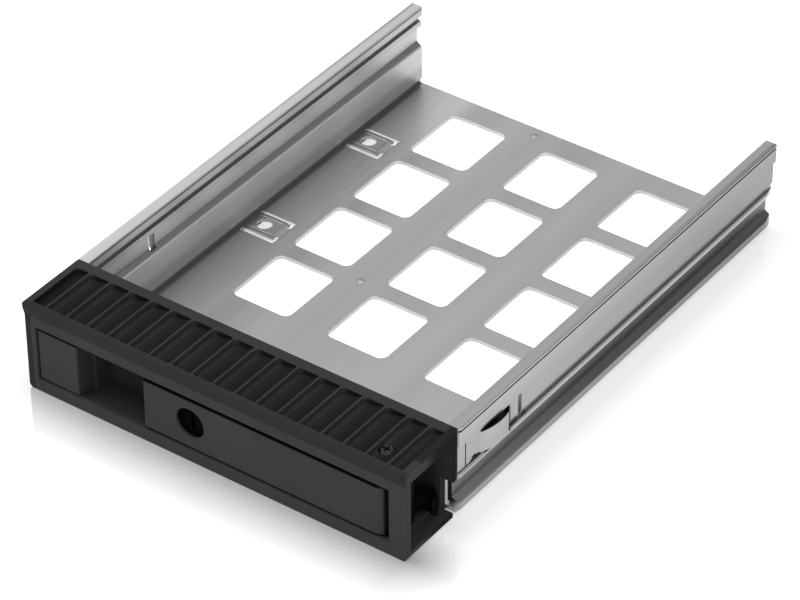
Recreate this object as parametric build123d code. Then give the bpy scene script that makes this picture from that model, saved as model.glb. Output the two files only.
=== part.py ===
from build123d import *
import math
import os

# Hot swap drive caddy for one 3.5 inch drive: an extruded aluminium tray with a
# moulded bezel, a swinging eject lever with a lock, and a push button latch.
# Millimetres. +X is right, +Y is back (away from the bezel's face), +Z is up.
# Everything is drawn with Y = 0 at the bezel's face and X = 0 at the middle, and
# is moved at the end so that the origin is the bottom centre of the whole box.

# Driving dimensions: the tray
BAY_WIDTH = 104.4
WALL = 3.3
TRAY_BACK = 156.8
FLOOR_TOP = 1.52
FLOOR_THICKNESS = 1.28
WEB = 1.15

# Side wall section, heights above the base and drops below the wall top
FLANGE_LIP = 3.3
FLANGE_TOP = 4.6
BEAD_LOW = 9.7
BEAD_HIGH = 12.0
BEAD_ROUND = 0.8
NECK_TOP = 13.65
NECK_DEPTH = 1.0
NECK_SEAM = 0.25
FACE_STEP = 0.6
FACE_DROP = 5.8
LINE_DROP = 1.0
LINE_SIZE = 0.45
SLIT_DROP = 2.7
SLIT_HEIGHT = 1.75
SLIT_DEPTH = 1.1
RIB_HEIGHT = 1.55
RECESS_DEPTH = 1.6
RECESS_LOW = 14.1
RELIEF_LOW = 1.62
RELIEF_HIGH = 3.0
RELIEF_DEPTH = 0.5
EDGE_BREAK = 0.25
RAIL_CORNER = 1.5
WALL_CORNER = 0.7

# Floor cut-outs
CUT_COLUMNS = 3
CUT_ROWS = 4
CUT_SPREAD = 0.2746
CUT_PITCH_Y = 24.92
CUT_FIRST_Y = 65.1
CUT_SIZE_X = 17.5
CUT_SIZE_Y = 20.0
CUT_RADIUS = 2.1
PEEP_RADIUS = 0.95
PEEP_INSET = 3.2

# Drive pads: the bottom screw pattern of a 3.5 inch drive
DRIVE_INSET = 4.575
DRIVE_PITCH_Y = 44.45
DRIVE_FRONT_Y = 82.3
DRIVE_HOLE_RADIUS = 2.1
COUNTERSINK = 0.5
PAD_OUT = 4.0
PAD_IN = 6.3
PAD_HALF = 3.65
PAD_SLOT = 1.3
PAD_RISE = 0.3
PAD_SLOPE = 2.0
PAD_NECK = 1.9
PAD_HOOK = 0.9
PAD_HOOK_RADIUS = 0.6

# Side springs lanced in the walls
SPRING_ROOT = 29.7
SPRING_TIP = 39.2
SPRING_WINDOW_END = 41.0
SPRING_TO_STEP = 1.0
SPRING_BULGE = 1.4
SPRING_METAL = 0.4
LANCE_HEIGHT = 1.5
SPRING_GAP = 0.25
SLOT_Y = 44.6
SLOT_WIDTH = 1.4
SLIT_Y = 23.3
SLIT_WIDTH = 0.4
WINDOW_SKIN = 0.3

# Driving dimensions: the bezel
BEZEL_SHY = 0.3
BEZEL_DEPTH = 20.3
BEZEL_HEIGHT = 25.4
BROW_LEAN = 0.9
BROW_HEIGHT = 3.6
CORNERS_FRONT = (0.5, 1.8)
CORNERS_BACK = (0.4, 1.4)
CORNER_BASE = 1.2
FRONT_WALL = 1.8
BACK_WALL = 2.0
FRAME_LEFT = 3.0
FRAME_RIGHT = 4.8
WINDOW_LOW = 3.4
WINDOW_HIGH = 19.0
RIB_COUNT = 17
RIB_WIDTH = 0.55
SCOOP_FRONT = 1.2
SCOOP_BACK = 17.5
SCOOP_DEPTH = 1.5
SCOOP_SHALLOW = 0.25
SCOOP_INSET = 1.8
SCOOP_END = 3.765
SIDE_LOW = 2.1
SIDE_HIGH = 22.2
SIDE_DEPTH = 4.2
POCKET_REACH = 11.3
NOTCH_HIGH = 10.9
NOTCH_INSET = 0.7
TAB_FRONT = 9.0
TAB_INSET = 2.2
RECESS_WIDTH = 19.4
RECESS_BACK = 10.0
PARTITION_FRONT = 5.0
PARTITION = 1.4
LEVER_BAY_BACK = 12.4

# Lever
GAP = 0.3
PIVOT_INSET = 9.9
PIVOT_Y = 6.4
LEVER_FACE = 0.3
LEVER_GAP_LOW = 0.45
LEVER_GAP_HIGH = 1.05
LEVER_SKIN = 2.2
LEVER_DEPTH = 8.1
LEVER_WALL = 1.5
RUNNING = 0.05
CLAW_RADIUS = 11.5
CLAW_LOW = 4.4
CLAW_HIGH = 9.1
CLAW_FROM = 36
CLAW_TO = 62
CLAW_MOUTH_RADIUS = 2.0
HUB_POCKET_Z = 15.6
HUB_POCKET_RADIUS = 3.6
ARM_THICKNESS = 2.0
ARM_END = 15.8
TOOTH = 2.3
TOOTH_LENGTH = 2.0
LEVER_RIB_INSETS = (33.3, 21.3)
LEVER_RIB = 1.2

# Lock in the lever
LOCK_INSET = 14.0
LOCK_Z = 11.1
LOCK_RADIUS = 4.1
LOCK_SINK = 1.3
LOCK_STEM = 2.4
LOCK_WEB = 1.2
LOCK_BOSS_WALL = 2.1
CAM_THICKNESS = 1.5
CAM_LENGTH = 9.5
CAM_HALF = 2.5
CAM_SLOT_TOP = 21.2

# Button and latch
BUTTON_WIDTH = 12.2
BUTTON_FACE = 0.25
BUTTON_BACK = 9.0
BUTTON_SKIN = 1.2
BUTTON_LIP = 0.8
BUTTON_GAP = 0.5
BUTTON_TRAVEL = 2.0
WEDGE_INSET = 2.0
WEDGE_TIP_Y = 14.6
WEDGE_WIDTH = 3.0
WEDGE_LOW = 10.6
WEDGE_HIGH = 13.6
SLIDER_FRONT = 11.9
SLIDER_BACK = 15.6
SLIDER_LOW = 9.0
SLIDER_HIGH = 15.2
SLIDER_REACH = 5.2
NOSE_LENGTH = 3.0
NOSE_BACK = 13.5
SPRING_POST_INSET = 7.0
SPRING_POST_WIDTH = 2.0
SPRING_ROOM = 7.5
WIRE_SIDES = 6

# Fasteners
PIVOT_SCREW_RADIUS = 1.25
PIVOT_HEAD_RADIUS = 1.9
PIVOT_HEAD_TOP = 24.3
PIVOT_HEAD_HEIGHT = 1.1
SCREW_RADIUS = 1.4
SCREW_HEAD_RADIUS = 2.7
SCREW_LENGTH = 5.8
SCREW_ROW_Y = 15.8
SCREW_COUNT = 4
SCREW_INSET = 6.0
SCREW_TO_PIVOT = 17.3
COVER_SCREW_TO_LOCK = 4.4
COVER_SCREW_INSET = 3.0
COVER_SCREW_Z = 13.6
COVER_SCREW_LENGTH = 5.0
COVER_INSET = 1.2
COVER_TO_POCKET = 2.0
COVER_LOW = 6.6
COVER_HIGH = 20.6
COVER_THICKNESS = 1.5
COVER_GAP = 0.2
GUIDE_INSET = 1.0
GUIDE_LENGTH = 21.0
FAR_REACH = 4.5
CORE_LOW = 8.0
CORE_HIGH = 19.4
CORE_TO_SCREW = 3.0
CORE_FRONT = 14.2

# Worked out from the driving dimensions
HALF_BAY = BAY_WIDTH / 2
HALF_TRAY = HALF_BAY + WALL
HALF_BEZEL = HALF_TRAY - BEZEL_SHY
WALL_TOP = BEZEL_HEIGHT
LINE_Z = WALL_TOP - LINE_DROP
FACE_STEP_Z = WALL_TOP - FACE_DROP
SLIT_HIGH = WALL_TOP - SLIT_DROP
SLIT_LOW = SLIT_HIGH - SLIT_HEIGHT
RIB_LOW = SLIT_LOW - RIB_HEIGHT
SPRING_LOW = BEAD_HIGH + 0.1 + SPRING_GAP
SPRING_HIGH = FACE_STEP_Z - SPRING_TO_STEP
DRIVE_PITCH_X = BAY_WIDTH - 2 * DRIVE_INSET
CUT_PITCH_X = CUT_SPREAD * BAY_WIDTH
WINDOW_LEFT = FRAME_LEFT - HALF_BEZEL
WINDOW_RIGHT = HALF_BEZEL - FRAME_RIGHT
BUTTON_RIGHT = WINDOW_LEFT + BUTTON_WIDTH
RECESS_RIGHT = BUTTON_RIGHT + RECESS_WIDTH
LOCK_X = RECESS_RIGHT + LOCK_INSET
PIVOT_X = HALF_BEZEL - PIVOT_INSET
POCKET_LEFT = PIVOT_X - POCKET_REACH
TAB_HALF = HALF_BAY - TAB_INSET
SCOOP_END_X = HALF_BEZEL - SCOOP_INSET
WEDGE_TIP_X = BUTTON_RIGHT - WEDGE_INSET
SLIDER_LEFT = WEDGE_TIP_X - SLIDER_REACH
SPRING_POST_X = BUTTON_RIGHT + SPRING_POST_INSET
COVER_LEFT = WINDOW_LEFT + COVER_INSET
COVER_RIGHT = POCKET_LEFT - COVER_TO_POCKET
COVER_SCREW_XS = (LOCK_X - COVER_SCREW_TO_LOCK, COVER_RIGHT - COVER_SCREW_INSET)
CORE_LEFT = COVER_SCREW_XS[0] + CORE_TO_SCREW
CORE_RIGHT = COVER_SCREW_XS[1] - CORE_TO_SCREW
FLOOR_LOW = FLOOR_TOP - FLOOR_THICKNESS
HUB_RADIUS = PIVOT_Y - LEVER_FACE
LEVER_LOW = WINDOW_LOW + LEVER_GAP_LOW
LEVER_HIGH = WINDOW_HIGH - LEVER_GAP_HIGH
LEVER_LEFT = RECESS_RIGHT + 2 * GAP
ARM_LEFT = LEVER_LEFT + 0.4
POCKET_BACK = BEZEL_DEPTH - BACK_WALL
COVER_FRONT = BEZEL_DEPTH - COVER_THICKNESS
ORIGIN_Y = (TRAY_BACK - BROW_LEAN) / 2
FAR = HALF_TRAY + FAR_REACH


def block(x0, x1, y0, y1, z0, z1):
    """A box between two corners."""
    return Pos((x0 + x1) / 2, (y0 + y1) / 2, (z0 + z1) / 2) * Box(
        abs(x1 - x0), abs(y1 - y0), abs(z1 - z0)
    )


def along_x(outline, x0, x1):
    """A prism along X over an outline of (y, z) points."""
    face = make_face(Polyline([(x0, y, z) for y, z in outline], close=True))
    return extrude(face, amount=x1 - x0, dir=(1, 0, 0))


def along_y(outline, y0, y1):
    """A prism along Y over an outline of (x, z) points."""
    face = make_face(Polyline([(x, y0, z) for x, z in outline], close=True))
    return extrude(face, amount=y1 - y0, dir=(0, 1, 0))


def along_z(outline, z0, z1):
    """A prism along Z over an outline of (x, y) points."""
    face = make_face(Polyline([(x, y, z0) for x, y in outline], close=True))
    return extrude(face, amount=z1 - z0, dir=(0, 0, 1))


def post_y(x, z, radius, y0, y1):
    """A cylinder along Y."""
    return Pos(x, (y0 + y1) / 2, z) * Rot(90, 0, 0) * Cylinder(radius, y1 - y0)


def post_z(x, y, radius, z0, z1):
    """A cylinder along Z."""
    return Pos(x, y, (z0 + z1) / 2) * Cylinder(radius, z1 - z0)


def both_sides(shape):
    """A shape and its mirror image across the middle plane."""
    return shape + mirror(shape, about=Plane.YZ)


def coil(radius, wire, turns, length):
    """A helical spring standing on the XY plane, wound clockwise, its wire six sided."""
    rise = length - 2 * wire
    path = Helix(rise / turns, rise, radius, lefthand=True)
    section = Plane(origin=path @ 0, z_dir=path % 0) * RegularPolygon(wire, WIRE_SIDES)
    return Pos(0, 0, wire) * sweep(section, path=path)


def cross_recess(size, depth):
    """A cross point recess that opens upward at the origin."""
    arm = Pos(0, 0, -depth / 2) * Box(size, size * 0.22, depth)
    return arm + Rot(0, 0, 90) * arm


def wall_outline():
    """The right wall's section, (x, z), from the floor's underside round to the bay."""
    foot = HALF_TRAY - 0.2
    web_outer = HALF_BAY + WEB
    face = HALF_TRAY - FACE_STEP
    return [
        (HALF_BAY, FLOOR_LOW),
        (foot - 1.0, FLOOR_LOW),
        (foot, FLOOR_LOW + 1.1),
        (foot, FLANGE_LIP),
        (web_outer, FLANGE_TOP),
        (web_outer, BEAD_LOW),
        (HALF_TRAY - 0.4, BEAD_LOW + BEAD_ROUND),
        (HALF_TRAY, BEAD_LOW + 1.6 * BEAD_ROUND),
        (HALF_TRAY, BEAD_HIGH - 0.5 * BEAD_ROUND),
        (HALF_TRAY - 0.4, BEAD_HIGH),
        (HALF_TRAY - NECK_DEPTH, BEAD_HIGH),
        (HALF_TRAY - NECK_DEPTH, NECK_TOP - 0.3),
        (face, NECK_TOP),
        (face, FACE_STEP_Z),
        (HALF_TRAY, FACE_STEP_Z + FACE_STEP),
        (HALF_TRAY, LINE_Z - LINE_SIZE / 2),
        (HALF_TRAY - LINE_SIZE, LINE_Z - LINE_SIZE / 2),
        (HALF_TRAY - LINE_SIZE, LINE_Z + LINE_SIZE / 2),
        (HALF_TRAY, LINE_Z + LINE_SIZE / 2),
        (HALF_TRAY, WALL_TOP - EDGE_BREAK),
        (HALF_TRAY - EDGE_BREAK, WALL_TOP),
        (HALF_BAY + EDGE_BREAK, WALL_TOP),
        (HALF_BAY, WALL_TOP - EDGE_BREAK),
        (HALF_BAY, SLIT_HIGH),
        (HALF_BAY + SLIT_DEPTH, SLIT_HIGH),
        (HALF_BAY + SLIT_DEPTH, SLIT_LOW),
        (HALF_BAY + EDGE_BREAK, SLIT_LOW),
        (HALF_BAY + EDGE_BREAK, RIB_LOW),
        (HALF_BAY + RECESS_DEPTH, RIB_LOW - 0.8),
        (HALF_BAY + RECESS_DEPTH, RECESS_LOW),
        (HALF_BAY, RECESS_LOW - 1.2),
        (HALF_BAY, RELIEF_HIGH),
        (HALF_BAY + RELIEF_DEPTH, RELIEF_HIGH),
        (HALF_BAY + RELIEF_DEPTH, RELIEF_LOW),
        (HALF_BAY, RELIEF_LOW),
        (HALF_BAY, FLOOR_TOP),
    ]


def tray_section():
    """The whole channel section: right wall, then its mirror image."""
    right = wall_outline()
    left = [(-x, z) for x, z in reversed(right)]
    return right + left


def side_spring_cuts():
    """Cuts in the right wall round the bowed side spring, blind where a skin stays inside."""
    inner = HALF_BAY + 0.9
    skin = HALF_BAY + RECESS_DEPTH + WINDOW_SKIN
    window = block(skin, FAR, SPRING_ROOT, SPRING_WINDOW_END, SPRING_LOW - SPRING_GAP, SPRING_HIGH)
    slot = block(inner, FAR, SLOT_Y, SLOT_Y + SLOT_WIDTH, BEAD_HIGH + 0.2, SPRING_HIGH + GAP)
    slit = block(inner, FAR, SLIT_Y, SLIT_Y + SLIT_WIDTH, BEAD_HIGH + 0.2, SPRING_HIGH + GAP)
    leaf = along_x(
        [
            (SLIT_Y + 1.7, BEAD_HIGH + 0.1),
            (SLIT_Y + 3.3, BEAD_HIGH + LANCE_HEIGHT),
            (SPRING_ROOT + 1.1, BEAD_HIGH + 0.1),
        ],
        skin,
        FAR,
    )
    return window + slot + slit + leaf


def side_spring():
    """The bowed tongue of the right wall, rooted at its front end."""
    outer_x = HALF_TRAY - FACE_STEP
    root = SPRING_ROOT - 0.5
    middle = (root + SPRING_TIP) / 2
    low = SPRING_LOW
    outer = ThreePointArc(
        (outer_x, root, low),
        (outer_x + SPRING_BULGE, middle, low),
        (outer_x + 0.8 * SPRING_BULGE, SPRING_TIP, low),
    )
    inner = ThreePointArc(
        (outer_x - SPRING_METAL, root, low),
        (outer_x + SPRING_BULGE - SPRING_METAL, middle, low),
        (outer_x + 0.8 * SPRING_BULGE - SPRING_METAL, SPRING_TIP, low),
    )
    ends = Line(outer @ 0, inner @ 0) + Line(outer @ 1, inner @ 1)
    face = make_face([*outer.edges(), *inner.edges(), *ends.edges()])
    return extrude(face, amount=SPRING_HIGH - SPRING_GAP - low, dir=(0, 0, 1))


def floor_cutouts():
    """The 3 by 4 grid of rounded lightening holes and the two small holes."""
    cuts = []
    sketch = RectangleRounded(CUT_SIZE_X, CUT_SIZE_Y, CUT_RADIUS)
    hole = extrude(sketch, amount=FLOOR_TOP + 2)
    for column in range(CUT_COLUMNS):
        x = (column - (CUT_COLUMNS - 1) / 2) * CUT_PITCH_X
        for row in range(CUT_ROWS):
            cuts.append(Pos(x, CUT_FIRST_Y + row * CUT_PITCH_Y, -1) * hole)
    for y in (CUT_FIRST_Y + CUT_PITCH_Y / 2, TRAY_BACK - PEEP_INSET):
        cuts.append(post_z(-CUT_PITCH_X / 2, y, PEEP_RADIUS, -1, FLOOR_TOP + 1))
    return cuts


def pad_window(x, y):
    """The opening lanced round a right hand drive pad at (x, y)."""
    reach = PAD_HALF + PAD_SLOT
    return block(x - PAD_IN, x + PAD_OUT, y - reach, y + reach, -1, FLOOR_TOP + 1)


def drive_pad(x, y):
    """The raised bridge of a right hand drive pad, with its countersunk hole."""
    inside = x - PAD_IN
    outside = x + PAD_OUT
    lap = 0.5
    upper = [
        (inside - lap, FLOOR_TOP),
        (inside, FLOOR_TOP),
        (inside + PAD_SLOPE, FLOOR_TOP + PAD_RISE),
        (outside - PAD_SLOPE, FLOOR_TOP + PAD_RISE),
        (outside, FLOOR_TOP),
        (outside + lap, FLOOR_TOP),
    ]
    lower = [(px, pz - FLOOR_THICKNESS) for px, pz in reversed(upper)]
    bridge = along_y(upper + lower, y - PAD_HALF, y + PAD_HALF)
    for side in (-1, 1):
        near = y + side * (PAD_NECK + PAD_HOOK_RADIUS)
        far = y + side * (PAD_HALF + 1)
        bridge -= block(inside, inside + PAD_HOOK, near, far, -1, FLOOR_TOP + 2)
        bridge -= post_z(inside + PAD_HOOK_RADIUS, near, PAD_HOOK_RADIUS, -1, FLOOR_TOP + 2)
    bridge -= post_z(x, y, DRIVE_HOLE_RADIUS, -1, FLOOR_TOP + 2)
    sink_low = FLOOR_LOW + PAD_RISE
    sink = Pos(x, y, sink_low + COUNTERSINK / 2) * Cone(
        DRIVE_HOLE_RADIUS + COUNTERSINK, DRIVE_HOLE_RADIUS, COUNTERSINK
    )
    return bridge - sink


def front_corner(size, z0, z1):
    """What is cut off the right wall's front outer corner to round it."""
    outline = [
        (HALF_TRAY - size, BEZEL_DEPTH - 1),
        (HALF_TRAY - size, BEZEL_DEPTH),
        (HALF_TRAY - 0.3 * size, BEZEL_DEPTH + 0.3 * size),
        (HALF_TRAY, BEZEL_DEPTH + size),
        (FAR, BEZEL_DEPTH + size),
        (FAR, BEZEL_DEPTH - 1),
    ]
    return along_z(outline, z0, z1)


def rail_ends():
    """What is cut off the right wall's ends so that its rail finds the runner."""
    lead = 3.5
    back = [
        (HALF_TRAY - 1.1, TRAY_BACK + 1),
        (HALF_TRAY - 0.9, TRAY_BACK),
        (HALF_TRAY, TRAY_BACK - lead),
        (FAR, TRAY_BACK - lead),
        (FAR, TRAY_BACK + 1),
    ]
    rail = front_corner(RAIL_CORNER, -1, BEAD_LOW)
    wall = front_corner(WALL_CORNER, BEAD_LOW, WALL_TOP + 1)
    return rail + wall + along_z(back, -1, BEAD_HIGH)


def neck_fill():
    """The right wall's front stretch, where the neck is only a seam over the bead."""
    face = HALF_TRAY - FACE_STEP
    inner = HALF_TRAY - NECK_DEPTH - 0.2
    low = BEAD_HIGH + NECK_SEAM
    return block(inner, face, BEZEL_DEPTH, SPRING_WINDOW_END, low, NECK_TOP + 0.1)


def bezel_screw_xs():
    """Where the screws from below hold the bezel to the tray's tab."""
    first = SCREW_INSET - TAB_HALF
    pitch = (PIVOT_X - SCREW_TO_PIVOT - first) / (SCREW_COUNT - 1)
    return [first + k * pitch for k in range(SCREW_COUNT)]


def screw_seat(x, y):
    """A countersunk seat in the tab for a screw from below."""
    depth = SCREW_HEAD_RADIUS - SCREW_RADIUS
    hole = post_z(x, y, SCREW_RADIUS + 0.15, -1, FLOOR_TOP + 1)
    sink = Pos(x, y, FLOOR_LOW + depth / 2) * Cone(
        SCREW_HEAD_RADIUS + 0.1, SCREW_RADIUS + 0.1, depth
    )
    return hole + sink


def tray_channel():
    """The aluminium channel: one extrusion, punched, lanced and tabbed."""
    tray = along_y(tray_section(), BEZEL_DEPTH, TRAY_BACK)
    tray += block(-TAB_HALF, TAB_HALF, TAB_FRONT, BEZEL_DEPTH + 1, FLOOR_LOW, FLOOR_TOP)
    tray += both_sides(neck_fill())
    tray -= floor_cutouts()
    for y in (DRIVE_FRONT_Y, DRIVE_FRONT_Y + DRIVE_PITCH_Y):
        tray -= both_sides(pad_window(DRIVE_PITCH_X / 2, y))
        tray += both_sides(drive_pad(DRIVE_PITCH_X / 2, y))
    tray -= both_sides(side_spring_cuts())
    tray += both_sides(side_spring())
    tray -= both_sides(rail_ends())
    tray -= [screw_seat(x, SCREW_ROW_Y) for x in bezel_screw_xs()]
    return tray


def bezel_blank():
    """The bezel's outer form: leaning brow, rounded corners in plan and in front view."""
    brow_low = BEZEL_HEIGHT - BROW_HEIGHT
    side = [
        (0, 0),
        (BEZEL_DEPTH, 0),
        (BEZEL_DEPTH, BEZEL_HEIGHT),
        (0.4 - BROW_LEAN, BEZEL_HEIGHT),
        (-BROW_LEAN, BEZEL_HEIGHT - 0.4),
        (0, brow_low),
    ]
    blank = along_x(side, -HALF_BEZEL, HALF_BEZEL)
    depth = BEZEL_DEPTH + BROW_LEAN
    plan = Pos(0, BEZEL_DEPTH - depth / 2) * Rectangle(2 * HALF_BEZEL, depth)
    for group, radii in ((0, CORNERS_FRONT), (-1, CORNERS_BACK)):
        for side, radius in ((0, radii[0]), (-1, radii[1])):
            corner = plan.vertices().group_by(Axis.Y)[group].sort_by(Axis.X)[side]
            plan = fillet(corner, radius)
    blank &= extrude(plan, amount=BEZEL_HEIGHT)
    face = Rectangle(2 * HALF_BEZEL, BEZEL_HEIGHT)
    face = fillet(face.vertices().group_by(Axis.Y)[0], CORNER_BASE)
    front_view = Plane((0, BEZEL_DEPTH, BEZEL_HEIGHT / 2), x_dir=(1, 0, 0), z_dir=(0, -1, 0))
    return blank & extrude(front_view * face, amount=depth)


def scoop(x0, x1):
    """One finger scoop of the top face: deep at the left, rising to the right."""
    top = BEZEL_HEIGHT
    width = x1 - x0
    rim = Polyline([
        (x0, 0, top - SCOOP_DEPTH),
        (x0, 0, top + 1),
        (x1, 0, top + 1),
        (x1, 0, top - SCOOP_SHALLOW),
    ])
    arc = ThreePointArc(
        (x1, 0, top - SCOOP_SHALLOW),
        (x0 + 0.55 * width, 0, top - SCOOP_DEPTH * 0.85),
        (x0, 0, top - SCOOP_DEPTH),
    )
    face = make_face([*rim.edges(), *arc.edges()])
    bar = extrude(face, amount=SCOOP_BACK, dir=(0, 1, 0))
    length = SCOOP_BACK - SCOOP_FRONT
    plan = Pos((x0 + x1) / 2, SCOOP_FRONT + length / 2) * Rectangle(width, length)
    for side, radius in ((0, 1.0), (-1, 0.4)):
        plan = fillet(plan.vertices().group_by(Axis.Y)[-1].sort_by(Axis.X)[side], radius)
    return bar & extrude(Pos(0, 0, top - 3) * plan, amount=5)


def scoops():
    """All scoops: one between each two ribs, and a narrower one at each end."""
    last = SCOOP_END_X - SCOOP_END - RIB_WIDTH / 2
    centres = [last * (2 * k / (RIB_COUNT - 1) - 1) for k in range(RIB_COUNT)]
    starts = [-SCOOP_END_X] + [x + RIB_WIDTH / 2 for x in centres]
    ends = [x - RIB_WIDTH / 2 for x in centres] + [SCOOP_END_X]
    return [scoop(x0, x1) for x0, x1 in zip(starts, ends)]


def button_chamber():
    """The room behind the button, with the edge that holds its lip."""
    right = BUTTON_RIGHT + 0.4
    opening = block(WINDOW_LEFT, right, -2, SLIDER_FRONT - GAP, WINDOW_LOW, WINDOW_HIGH)
    wide = BUTTON_LIP + GAP
    room = block(
        WINDOW_LEFT - wide, right, FRONT_WALL, SLIDER_FRONT - GAP,
        WINDOW_LOW - wide + GAP, WINDOW_HIGH + wide - GAP,
    )
    return opening + room


def finger_recess():
    """The hollow between button and lever where a finger hooks the lever."""
    left = BUTTON_RIGHT + 0.4
    front = block(left - 0.1, RECESS_RIGHT, -2, PARTITION_FRONT, WINDOW_LOW, WINDOW_HIGH)
    back = block(left + PARTITION, RECESS_RIGHT, -2, RECESS_BACK, WINDOW_LOW, WINDOW_HIGH)
    return front + back


def lever_room():
    """The bay behind the lever, the claw's pocket, and the way for the rail."""
    bay = block(RECESS_RIGHT - 0.1, POCKET_LEFT + 1, -2, LEVER_BAY_BACK, WINDOW_LOW, WINDOW_HIGH)
    window = block(RECESS_RIGHT, WINDOW_RIGHT, -2, FRONT_WALL + 1, WINDOW_LOW, WINDOW_HIGH)
    inner = HALF_BEZEL - SIDE_DEPTH
    pocket = block(POCKET_LEFT, inner + 0.1, FRONT_WALL, POCKET_BACK, WINDOW_LOW, WINDOW_HIGH)
    side = block(inner, FAR, FRONT_WALL, POCKET_BACK, SIDE_LOW, SIDE_HIGH)
    notch = block(HALF_BAY - NOTCH_INSET, FAR, POCKET_BACK - 0.1, BEZEL_DEPTH + 1, -1, NOTCH_HIGH)
    return bay + window + pocket + side + notch


def cam_slot():
    """The slot over the lever bay that takes the lock's cam."""
    y0, y1 = cam_depths()
    return block(
        LOCK_X - CAM_HALF - 2 * GAP, LOCK_X + 6.6, y0 - 0.4, y1 + 0.4,
        WINDOW_HIGH - 0.1, CAM_SLOT_TOP,
    )


def latch_room():
    """The slider's channel, the wedge's way in and the catch arm's slot."""
    left = SLIDER_LEFT - BUTTON_TRAVEL - GAP
    low = SLIDER_LOW - GAP
    high = SLIDER_HIGH + GAP
    slot_right = LEVER_LEFT + 6
    channel = block(left, slot_right, SLIDER_FRONT - GAP, COVER_FRONT + 0.1, low, high)
    way = block(
        WEDGE_TIP_X - WEDGE_WIDTH - 2 * GAP, WEDGE_TIP_X + GAP, BUTTON_BACK,
        SLIDER_FRONT, WEDGE_LOW - GAP, WEDGE_HIGH + GAP,
    )
    arm = block(slider_right() + 0.05, slot_right, RECESS_BACK - 4, COVER_FRONT, low, high)
    return channel + way + arm


def spring_post():
    """The rib in the channel that the latch spring pushes against."""
    return block(
        SPRING_POST_X - SPRING_POST_WIDTH / 2, SPRING_POST_X + SPRING_POST_WIDTH / 2,
        SLIDER_FRONT - GAP - 0.1, SLIDER_BACK, WEDGE_LOW, WEDGE_HIGH,
    )


def rear_rebate():
    """The rebate for the rear cover, and the core behind the lever bay."""
    rebate = block(
        COVER_LEFT - COVER_GAP, COVER_RIGHT + COVER_GAP, COVER_FRONT, BEZEL_DEPTH + 1,
        COVER_LOW - COVER_GAP, COVER_HIGH + COVER_GAP,
    )
    core = block(CORE_LEFT, CORE_RIGHT, CORE_FRONT, COVER_FRONT + 0.1, CORE_LOW, CORE_HIGH)
    return rebate + core


def bezel_housing():
    """The moulded bezel."""
    bezel = bezel_blank()
    bezel -= scoops()
    bezel -= button_chamber()
    bezel -= finger_recess()
    bezel -= lever_room()
    bezel -= cam_slot()
    bezel -= latch_room()
    bezel += spring_post()
    bezel -= rear_rebate()
    bezel -= block(
        -TAB_HALF - GAP, TAB_HALF + GAP, TAB_FRONT - GAP, BEZEL_DEPTH + 1, -1, FLOOR_TOP
    )
    bezel -= [
        post_z(x, SCREW_ROW_Y, SCREW_RADIUS, 0, FLOOR_LOW + SCREW_LENGTH + 0.4)
        for x in bezel_screw_xs()
    ]
    bezel -= [
        post_y(x, COVER_SCREW_Z, SCREW_RADIUS, COVER_FRONT - COVER_SCREW_LENGTH, COVER_FRONT + 1)
        for x in COVER_SCREW_XS
    ]
    head_seat = PIVOT_HEAD_TOP - PIVOT_HEAD_HEIGHT
    bezel -= post_z(PIVOT_X, PIVOT_Y, PIVOT_SCREW_RADIUS + RUNNING, FLOOR_TOP + 0.4, BEZEL_HEIGHT)
    bezel -= post_z(PIVOT_X, PIVOT_Y, PIVOT_HEAD_RADIUS + 0.1, head_seat, BEZEL_HEIGHT + 1)
    return bezel


def rear_cover():
    """The plate that closes the latch's channel, with two guide ribs for the slider."""
    cover = block(COVER_LEFT, COVER_RIGHT, COVER_FRONT, BEZEL_DEPTH, COVER_LOW, COVER_HIGH)
    left = SLIDER_LEFT + GUIDE_INSET
    for z0 in (SLIDER_LOW, SLIDER_HIGH - 1.2):
        cover += block(
            left, left + GUIDE_LENGTH, SLIDER_BACK + GAP, COVER_FRONT, z0, z0 + 1.2
        )
    sink = 1.2
    for x in COVER_SCREW_XS:
        cover -= post_y(x, COVER_SCREW_Z, SCREW_RADIUS + 0.15, COVER_FRONT - 1, BEZEL_DEPTH + 1)
        cone = Cone(SCREW_RADIUS + 0.1, SCREW_RADIUS + 0.1 + sink, sink)
        cover -= Pos(x, BEZEL_DEPTH - sink / 2, COVER_SCREW_Z) * Rot(-90, 0, 0) * cone
    return cover


def cam_depths():
    """Front and back of the lock's cam, behind the web of the lever's lock boss."""
    front = LEVER_DEPTH + GAP / 2
    return front, front + CAM_THICKNESS


def claw():
    """The hooked claw behind the hub that pushes the caddy out and holds it in."""
    steps = [CLAW_FROM + k * (CLAW_TO - CLAW_FROM) / 2 for k in range(3)]
    rim = [
        (
            PIVOT_X + CLAW_RADIUS * math.cos(math.radians(angle)),
            PIVOT_Y + CLAW_RADIUS * math.sin(math.radians(angle)),
            CLAW_LOW,
        )
        for angle in steps
    ]
    centre = (PIVOT_X, PIVOT_Y, CLAW_LOW)
    arc = ThreePointArc(*rim)
    sides = Line(centre, rim[0]) + Line(rim[-1], centre)
    face = make_face([*arc.edges(), *sides.edges()])
    plate = extrude(face, amount=CLAW_HIGH - CLAW_LOW, dir=(0, 0, 1))
    reach = HUB_RADIUS + CLAW_MOUTH_RADIUS
    mouth_x = PIVOT_X + reach * math.cos(math.radians(CLAW_FROM))
    mouth_y = PIVOT_Y + reach * math.sin(math.radians(CLAW_FROM))
    return plate - post_z(mouth_x, mouth_y, CLAW_MOUTH_RADIUS, CLAW_LOW - 1, CLAW_HIGH + 1)


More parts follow.
